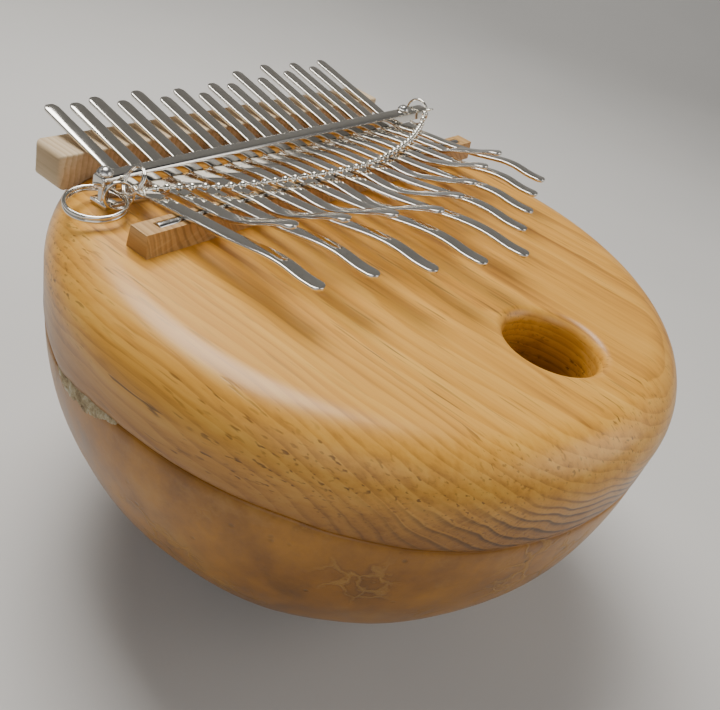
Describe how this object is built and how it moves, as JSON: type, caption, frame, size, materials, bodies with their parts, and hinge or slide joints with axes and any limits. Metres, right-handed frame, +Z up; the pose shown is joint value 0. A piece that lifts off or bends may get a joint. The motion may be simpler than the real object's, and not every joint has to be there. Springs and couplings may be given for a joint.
{
  "type": "mbira",
  "caption": "Gourd-bodied thumb piano: round oak soundboard on a half gourd, sprung steel tines clamped over two bridges, rings and a bead rattle chain.",
  "frame": {"origin": "centre of the bounding box at its bottom, under the middle of the gourd's flat foot", "axes": "+Z up out of the soundboard, -Y the way the tines' playing tips point, +X along the bridges to the player's other hand"},
  "size_m": [0.2068, 0.2068, 0.1419],
  "materials": {
    "gourd": "satin varnished gourd skin",
    "board": "satin varnished oak",
    "bridge_pale": "bare pale hardwood, sanded",
    "bridge_tan": "oiled tan hardwood",
    "steel": "polished steel",
    "bar_steel": "polished nickel plate",
    "tine_steel": "polished nickel-plated spring steel",
    "ring_steel": "polished nickel plate",
    "chain_steel": "polished nickel plate"
  },
  "bodies": {
    "body": {"gourd_bowl": "gourd", "soundboard": "board", "back_bridge": "bridge_pale", "front_bridge": "bridge_tan", "bridge_rod": "steel", "pressure_bar": "bar_steel", "lower_bar": "bar_steel", "clamp_screws": "steel", "clamp_washers": "steel", "tine_01_clamped": "tine_steel", "tine_02_clamped": "tine_steel", "tine_03_clamped": "tine_steel", "tine_04_clamped": "tine_steel", "tine_05_clamped": "tine_steel", "tine_06_clamped": "tine_steel", "tine_07_clamped": "tine_steel", "tine_08_clamped": "tine_steel", "tine_09_clamped": "tine_steel", "tine_10_clamped": "tine_steel", "tine_11_clamped": "tine_steel", "tine_12_clamped": "tine_steel", "tine_13_clamped": "tine_steel", "tine_14_clamped": "tine_steel", "tine_15_clamped": "tine_steel", "tine_16_clamped": "tine_steel", "tine_17_clamped": "tine_steel"},
    "reed_01": {"tine_01_reed": "tine_steel"},
    "reed_02": {"tine_02_reed": "tine_steel"},
    "reed_03": {"tine_03_reed": "tine_steel"},
    "reed_04": {"tine_04_reed": "tine_steel"},
    "reed_05": {"tine_05_reed": "tine_steel"},
    "reed_06": {"tine_06_reed": "tine_steel"},
    "reed_07": {"tine_07_reed": "tine_steel"},
    "reed_08": {"tine_08_reed": "tine_steel"},
    "reed_09": {"tine_09_reed": "tine_steel"},
    "reed_10": {"tine_10_reed": "tine_steel"},
    "reed_11": {"tine_11_reed": "tine_steel"},
    "reed_12": {"tine_12_reed": "tine_steel"},
    "reed_13": {"tine_13_reed": "tine_steel"},
    "reed_14": {"tine_14_reed": "tine_steel"},
    "reed_15": {"tine_15_reed": "tine_steel"},
    "reed_16": {"tine_16_reed": "tine_steel"},
    "reed_17": {"tine_17_reed": "tine_steel"},
    "ring_large": {"ring_large": "ring_steel"},
    "ring_medium": {"ring_medium": "ring_steel"},
    "ring_small": {"ring_small": "ring_steel"},
    "ring_end": {"ring_end": "ring_steel"},
    "chain": {"rattle_chain": "chain_steel"}
  },
  "joints": [
    {"name": "tine_01_flex", "type": "hinge", "parent": "body", "child": "reed_01", "pos_m": [-0.0596, 0.02865, 0.1307], "axis": [1, 0, 0], "range_deg": [-1.5, 1.5], "stiffness_Nm_per_rad": 0.5},
    {"name": "tine_02_flex", "type": "hinge", "parent": "body", "child": "reed_02", "pos_m": [-0.0511, 0.02865, 0.1307], "axis": [1, 0, 0], "range_deg": [-1.5, 1.5], "stiffness_Nm_per_rad": 0.5},
    {"name": "tine_03_flex", "type": "hinge", "parent": "body", "child": "reed_03", "pos_m": [-0.0426, 0.02865, 0.1307], "axis": [1, 0, 0], "range_deg": [-1.5, 1.5], "stiffness_Nm_per_rad": 0.5},
    {"name": "tine_04_flex", "type": "hinge", "parent": "body", "child": "reed_04", "pos_m": [-0.0341, 0.02865, 0.1307], "axis": [1, 0, 0], "range_deg": [-1.5, 1.5], "stiffness_Nm_per_rad": 0.5},
    {"name": "tine_05_flex", "type": "hinge", "parent": "body", "child": "reed_05", "pos_m": [-0.0256, 0.02865, 0.1307], "axis": [1, 0, 0], "range_deg": [-1.5, 1.5], "stiffness_Nm_per_rad": 0.5},
    {"name": "tine_06_flex", "type": "hinge", "parent": "body", "child": "reed_06", "pos_m": [-0.0171, 0.02865, 0.1307], "axis": [1, 0, 0], "range_deg": [-1.5, 1.5], "stiffness_Nm_per_rad": 0.5},
    {"name": "tine_07_flex", "type": "hinge", "parent": "body", "child": "reed_07", "pos_m": [-0.0086, 0.02865, 0.1307], "axis": [1, 0, 0], "range_deg": [-1.5, 1.5], "stiffness_Nm_per_rad": 0.5},
    {"name": "tine_08_flex", "type": "hinge", "parent": "body", "child": "reed_08", "pos_m": [-0.0001, 0.02865, 0.1307], "axis": [1, 0, 0], "range_deg": [-1.5, 1.5], "stiffness_Nm_per_rad": 0.5},
    {"name": "tine_09_flex", "type": "hinge", "parent": "body", "child": "reed_09", "pos_m": [0.0084, 0.02865, 0.1307], "axis": [1, 0, 0], "range_deg": [-1.5, 1.5], "stiffness_Nm_per_rad": 0.5},
    {"name": "tine_10_flex", "type": "hinge", "parent": "body", "child": "reed_10", "pos_m": [0.0169, 0.02865, 0.1307], "axis": [1, 0, 0], "range_deg": [-1.5, 1.5], "stiffness_Nm_per_rad": 0.5},
    {"name": "tine_11_flex", "type": "hinge", "parent": "body", "child": "reed_11", "pos_m": [0.0254, 0.02865, 0.1307], "axis": [1, 0, 0], "range_deg": [-1.5, 1.5], "stiffness_Nm_per_rad": 0.5},
    {"name": "tine_12_flex", "type": "hinge", "parent": "body", "child": "reed_12", "pos_m": [0.0339, 0.02865, 0.1307], "axis": [1, 0, 0], "range_deg": [-1.5, 1.5], "stiffness_Nm_per_rad": 0.5},
    {"name": "tine_13_flex", "type": "hinge", "parent": "body", "child": "reed_13", "pos_m": [0.0424, 0.02865, 0.1307], "axis": [1, 0, 0], "range_deg": [-1.5, 1.5], "stiffness_Nm_per_rad": 0.5},
    {"name": "tine_14_flex", "type": "hinge", "parent": "body", "child": "reed_14", "pos_m": [0.0509, 0.02865, 0.1307], "axis": [1, 0, 0], "range_deg": [-1.5, 1.5], "stiffness_Nm_per_rad": 0.5},
    {"name": "tine_15_flex", "type": "hinge", "parent": "body", "child": "reed_15", "pos_m": [0.0594, 0.02865, 0.1307], "axis": [1, 0, 0], "range_deg": [-1.5, 1.5], "stiffness_Nm_per_rad": 0.5},
    {"name": "tine_16_flex", "type": "hinge", "parent": "body", "child": "reed_16", "pos_m": [0.0679, 0.02865, 0.1307], "axis": [1, 0, 0], "range_deg": [-1.5, 1.5], "stiffness_Nm_per_rad": 0.5},
    {"name": "tine_17_flex", "type": "hinge", "parent": "body", "child": "reed_17", "pos_m": [0.0764, 0.02865, 0.1307], "axis": [1, 0, 0], "range_deg": [-1.5, 1.5], "stiffness_Nm_per_rad": 0.5},
    {"name": "ring_large_turn", "type": "hinge", "parent": "body", "child": "ring_large", "pos_m": [-0.0731, 0.0529, 0.1255], "axis": [-0.1, 0, 0.995], "continuous": true},
    {"name": "ring_medium_turn", "type": "hinge", "parent": "body", "child": "ring_medium", "pos_m": [-0.0671, 0.0507, 0.1277], "axis": [0.3401, 0.9404, 0], "continuous": true},
    {"name": "ring_small_turn", "type": "hinge", "parent": "body", "child": "ring_small", "pos_m": [-0.0644, 0.0483, 0.1331], "axis": [-0.814, 0.2914, 0.5025], "continuous": true},
    {"name": "ring_end_turn", "type": "hinge", "parent": "body", "child": "ring_end", "pos_m": [0.0926, 0.0558, 0.13035], "axis": [1, 0, 0], "continuous": true},
    {"name": "chain_swing", "type": "hinge", "parent": "body", "child": "chain", "pos_m": [-0.0662, 0.04435, 0.13244], "axis": [-0.9989, -0.0464, -0.0042], "range_deg": [0, 25]}
  ]
}
